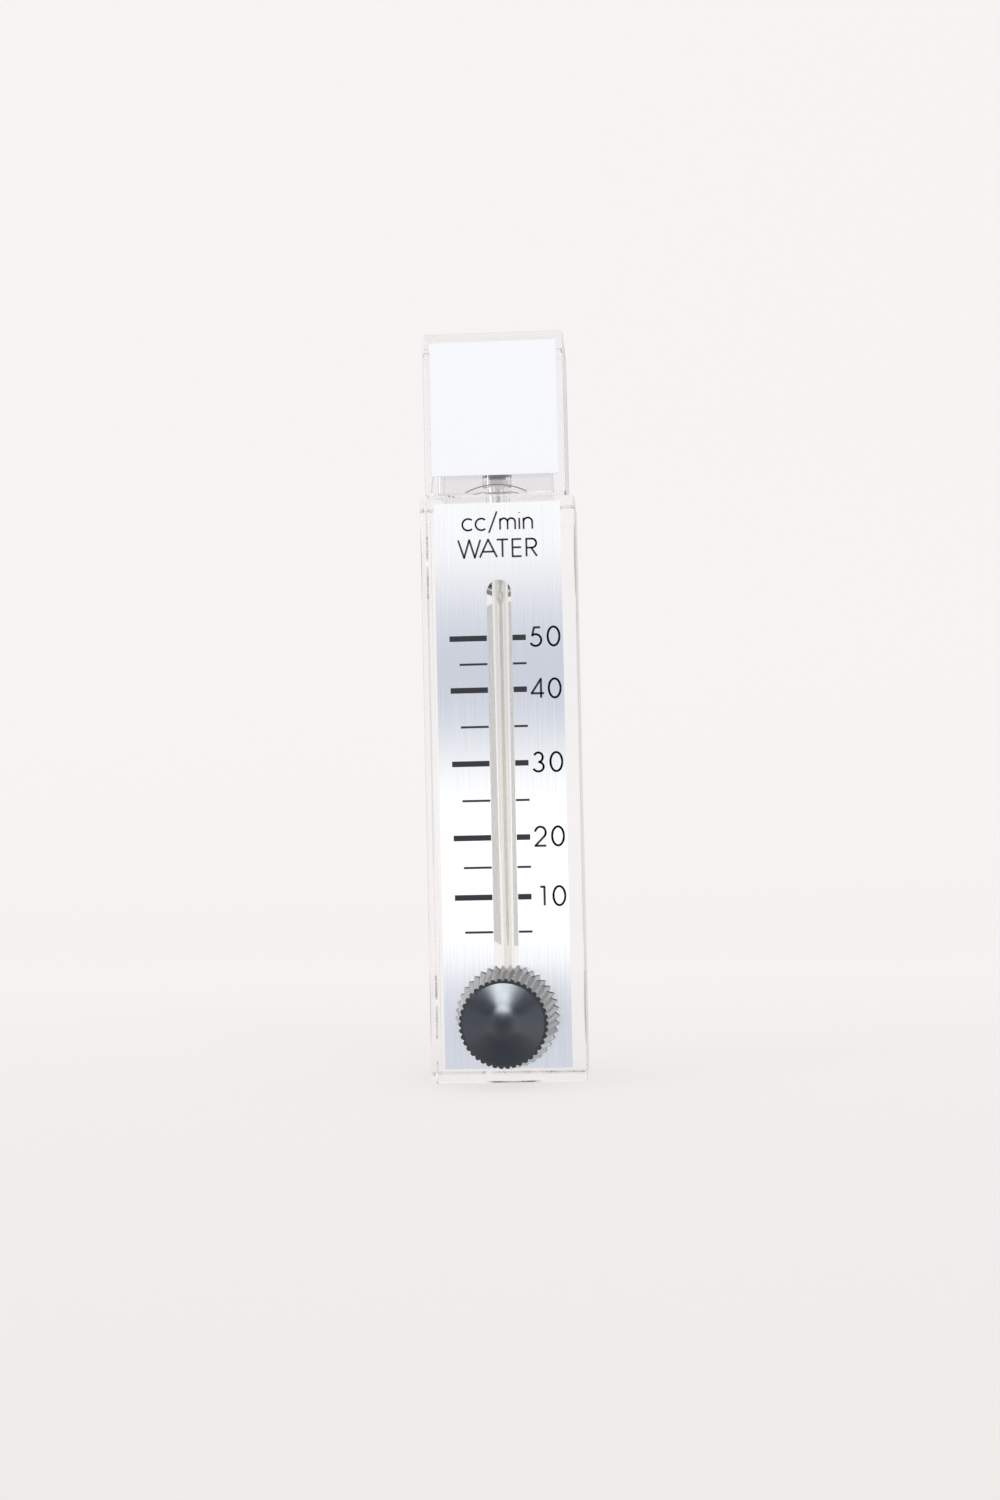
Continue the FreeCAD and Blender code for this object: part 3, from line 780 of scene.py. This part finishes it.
DISC_CORNERS = 10
GLYPHS = {
    # letter: (advance, strokes)
    "0": (0.68, [arc(0.34, 0.5, 0.31, 0.5, 0, 360, 36)]),
    "1": (0.34, [[(0.0, 0.98), (0.22, 0.98), (0.22, 0.0)]]),
    "2": (0.62, [arc(0.3, 0.7, 0.28, 0.3, 172, -38) + [(0.02, 0.0), (0.6, 0.0)]]),
    "3": (0.6, [arc(0.28, 0.75, 0.23, 0.25, 155, -90), arc(0.27, 0.25, 0.28, 0.25, 90, -158)]),
    "4": (0.7, [[(0.66, 0.24), (0.0, 0.24), (0.5, 1.0), (0.5, 0.0)]]),
    "5": (0.6, [[(0.53, 0.98), (0.2, 0.98), (0.1, 0.56)] + arc(0.27, 0.31, 0.3, 0.31, 125, -152)]),
    "c": (0.6, [arc(0.31, 0.31, 0.31, 0.31, 48, 312)]),
    "/": (0.5, [[(0.0, -0.16), (0.44, 0.98)]]),
    "m": (0.92, [[(0, 0), (0, 0.6)], arc(0.2, 0.4, 0.2, 0.2, 180, 0) + [(0.4, 0)],
                 arc(0.6, 0.4, 0.2, 0.2, 180, 0) + [(0.8, 0)]]),
    "i": (0.12, [[(0, 0), (0, 0.6)], [(0, 0.86), (0, 0.9)]]),
    "n": (0.52, [[(0, 0), (0, 0.6)], arc(0.23, 0.38, 0.23, 0.22, 180, 0) + [(0.46, 0)]]),
    "W": (1.22, [[(0, 1), (0.32, 0), (0.62, 1), (0.92, 0), (1.24, 1)]]),
    "A": (0.98, [[(0, 0), (0.48, 1), (0.96, 0)], [(0.16, 0.32), (0.8, 0.32)]]),
    "T": (0.9, [[(0, 0.98), (0.64, 0.98)], [(0.32, 0.98), (0.32, 0)]]),
    "E": (0.8, [[(0.5, 0.98), (0, 0.98), (0, 0.02), (0.5, 0.02)], [(0, 0.52), (0.48, 0.52)]]),
    "R": (0.6, [[(0, 0), (0, 0.98), (0.3, 0.98)] + arc(0.3, 0.73, 0.25, 0.25, 90, -90)
                + [(0, 0.48)], [(0.26, 0.48), (0.58, 0)]]),
}


def ribbon(mesh, points, width, y):
    """A flat strip of even width along points, and a disc of ink at each joint, facing -Y."""
    half = width / 2
    for (x0, z0), (x1, z1) in zip(points, points[1:]):
        along = Vector((x1 - x0, 0, z1 - z0)).normalized() * half
        across = Vector((along.z, 0, -along.x))
        start, end = Vector((x0, y, z0)), Vector((x1, y, z1))
        corners = [start - across, start + across, end + across, end - across]
        face = mesh.faces.new([mesh.verts.new(corner) for corner in corners])
        face.normal_update()
        if face.normal.y > 0:
            face.normal_flip()
    turns = [math.tau * i / DISC_CORNERS for i in range(DISC_CORNERS)]
    for x, z in points[1:-1]:
        mesh.faces.new([
            mesh.verts.new((x + half * math.cos(turn), y, z + half * math.sin(turn)))
            for turn in turns
        ])


def ink_piece(name, mesh):
    """An ink-coloured piece from its mesh, on the meter: print, or the painted edge shade."""
    data = bpy.data.meshes.new(name)
    mesh.to_mesh(data)
    mesh.free()
    data.materials.append(INK)
    piece = bpy.data.objects.new(name, data)
    scene.collection.objects.link(piece)
    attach(piece, "meter")


def write(name, text, left, width, foot, height, stroke):
    """Ink lettering on the plate. Sizes are in mm; the letter gap is what fills the width."""
    drawn = sum(GLYPHS[letter][0] for letter in text) * height
    gap = (width - drawn) / max(1, len(text) - 1)
    mesh = bmesh.new()
    cursor = left
    y = (ink_y / MM - INK_THICK) * MM
    for letter in text:
        advance, strokes = GLYPHS[letter]
        for points in strokes:
            placed = [((cursor + x * height) * MM, (foot + z * height) * MM) for x, z in points]
            ribbon(mesh, placed, stroke * MM, y)
        cursor += advance * height + gap
    ink_piece(name, mesh)


FIGURE_HEIGHT, FIGURE_STROKE, FIGURE_LIFT = 3.1, 0.36, 0.08
FIGURE_LEFT, NARROW_LEFT, FIGURE_RIGHT = 5.05, 5.75, 9.9  # a 1 is narrow, so 10 starts later
for value, height in MAIN_MARKS.items():
    left = NARROW_LEFT if value == 10 else FIGURE_LEFT
    foot = height - FIGURE_HEIGHT / 2 + FIGURE_LIFT
    write(f"figure_{value}", str(value), left, FIGURE_RIGHT - left, foot,
          FIGURE_HEIGHT, FIGURE_STROKE)
write("unit_words", "cc/min", -5.75, 11.7, 79.72, 3.1, 0.3)
write("fluid_word", "WATER", -6.5, 13.0, 75.2, 2.95, 0.32)

# %% [markdown]
# ## Painted edge shade
# The front of the block's head has a round step about the outlet, and its edge is drawn as a
# fine dark line of painted shade. Only the top of that circle shows, between the plate and the
# label.

# %% Painted edge shade
# The dark ribbon along the step's edge is painted shade, laid just in front of the block.
SHADE_LINE_RADIUS = 10.8
SHADE_LINE_RISE = 57  # degrees above level where the visible arc starts and ends
SHADE_LINE_WIDTH, SHADE_LINE_PROUD = 0.13, 0.01
outlet_centre = (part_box("outlet_insert")[0].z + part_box("outlet_insert")[1].z) / 2 / MM


def make_core_mark():
    mesh = bmesh.new()
    points = arc(0, outlet_centre, SHADE_LINE_RADIUS, SHADE_LINE_RADIUS,
                 SHADE_LINE_RISE, 180 - SHADE_LINE_RISE)
    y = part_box("flow_body")[0].y - SHADE_LINE_PROUD * MM
    ribbon(mesh, [(x * MM, z * MM) for x, z in points], SHADE_LINE_WIDTH * MM, y)
    ink_piece("painted_edge_shade", mesh)


make_core_mark()
print("core mark about z =", round(outlet_centre, 2))

# %% [markdown]
# ## Threads
# Each port has an inner pipe thread of 27 turns to the inch, drawn without its slight taper,
# and the plug and the valve's bushing have outer threads that show through the clear block.
# Geometry Nodes wind them: a spiral curve with a small diamond swept along it, laid along
# the piece's axis.

# %% Threads
THREAD_RIDGE = 0.3
UPRIGHT, INTO_FRONT = (0.0, 0.0, 0.0), (math.pi / 2, 0.0, 0.0)
THREADS = {
    # name: (piece, way, start in from its top or rear end, radius, length, pitch, metal, slot)
    "inlet_thread":
        ("inlet_insert", INTO_FRONT, 0.35, 4.37, 7.4, 25.4 / 27, PLATED, "plated_brass"),
    "outlet_thread":
        ("outlet_insert", INTO_FRONT, 0.35, 4.37, 7.4, 25.4 / 27, PLATED, "plated_brass"),
    "plug_thread":
        ("plug_ball_stop", UPRIGHT, 15.3, 3.15, 14.8, 1.0, STEEL_UPRIGHT, "turned_steel"),
    "bushing_thread":
        ("valve_bushing", INTO_FRONT, 1.5, 4.7, 3.0, 0.8, PLATED, "plated_brass"),
}


def thread_tree():
    """A spiral ridge that rises along Z from the origin, then is turned and placed."""
    tree, given, out = geometry_tree(
        "wound_thread", Turns="Float", Radius="Float", Length="Float", Ridge="Float",
        Turn="Rotation", Place="Vector", Metal="Material",
    )
    spiral = fill(add(tree, "GeometryNodeCurveSpiral"), Resolution=48)
    join(tree, given.outputs["Turns"], spiral.inputs["Rotations"])
    join(tree, given.outputs["Radius"], spiral.inputs["Start Radius"])
    join(tree, given.outputs["Radius"], spiral.inputs["End Radius"])
    join(tree, given.outputs["Length"], spiral.inputs["Height"])
    diamond = fill(add(tree, "GeometryNodeCurvePrimitiveCircle"), Resolution=4)
    join(tree, given.outputs["Ridge"], diamond.inputs["Radius"])
    swept = add(tree, "GeometryNodeCurveToMesh")
    join(tree, spiral.outputs["Curve"], swept.inputs["Curve"])
    join(tree, diamond.outputs["Curve"], swept.inputs["Profile Curve"])
    laid = add(tree, "GeometryNodeTransform")
    join(tree, swept.outputs["Mesh"], laid.inputs["Geometry"])
    join(tree, given.outputs["Turn"], laid.inputs["Rotation"])
    join(tree, given.outputs["Place"], laid.inputs["Translation"])
    solid = add(tree, "GeometryNodeRealizeInstances")
    join(tree, laid.outputs["Geometry"], solid.inputs[0])
    metal = add(tree, "GeometryNodeSetMaterial")
    join(tree, solid.outputs[0], metal.inputs["Geometry"])
    join(tree, given.outputs["Metal"], metal.inputs["Material"])
    join(tree, metal.outputs[0], out.inputs[0])
    return tree


WOUND_THREAD = thread_tree()


def make_thread(name, node_name, turn, start, radius, length, pitch, metal, slot):
    """A thread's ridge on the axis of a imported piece. Sizes are in mm."""
    low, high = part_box(node_name)
    if turn == UPRIGHT:
        place = (0, (low.y + high.y) / 2, high.z - start * MM)
    else:
        place = (0, high.y - start * MM, (low.z + high.z) / 2)
    source = bpy.data.objects.new(name, bpy.data.meshes.new(name))
    scene.collection.objects.link(source)
    modifier = source.modifiers.new("thread", "NODES")
    modifier.node_group = WOUND_THREAD
    set_inputs(modifier, Turns=length / pitch, Radius=radius * MM, Length=length * MM,
               Ridge=THREAD_RIDGE * MM, Turn=turn, Place=place, Metal=metal)
    piece = baked(source, name)
    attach(piece, "meter")


for name, values in THREADS.items():
    make_thread(name, *values)
print("threads wound on the ports, the plug and the bushing")
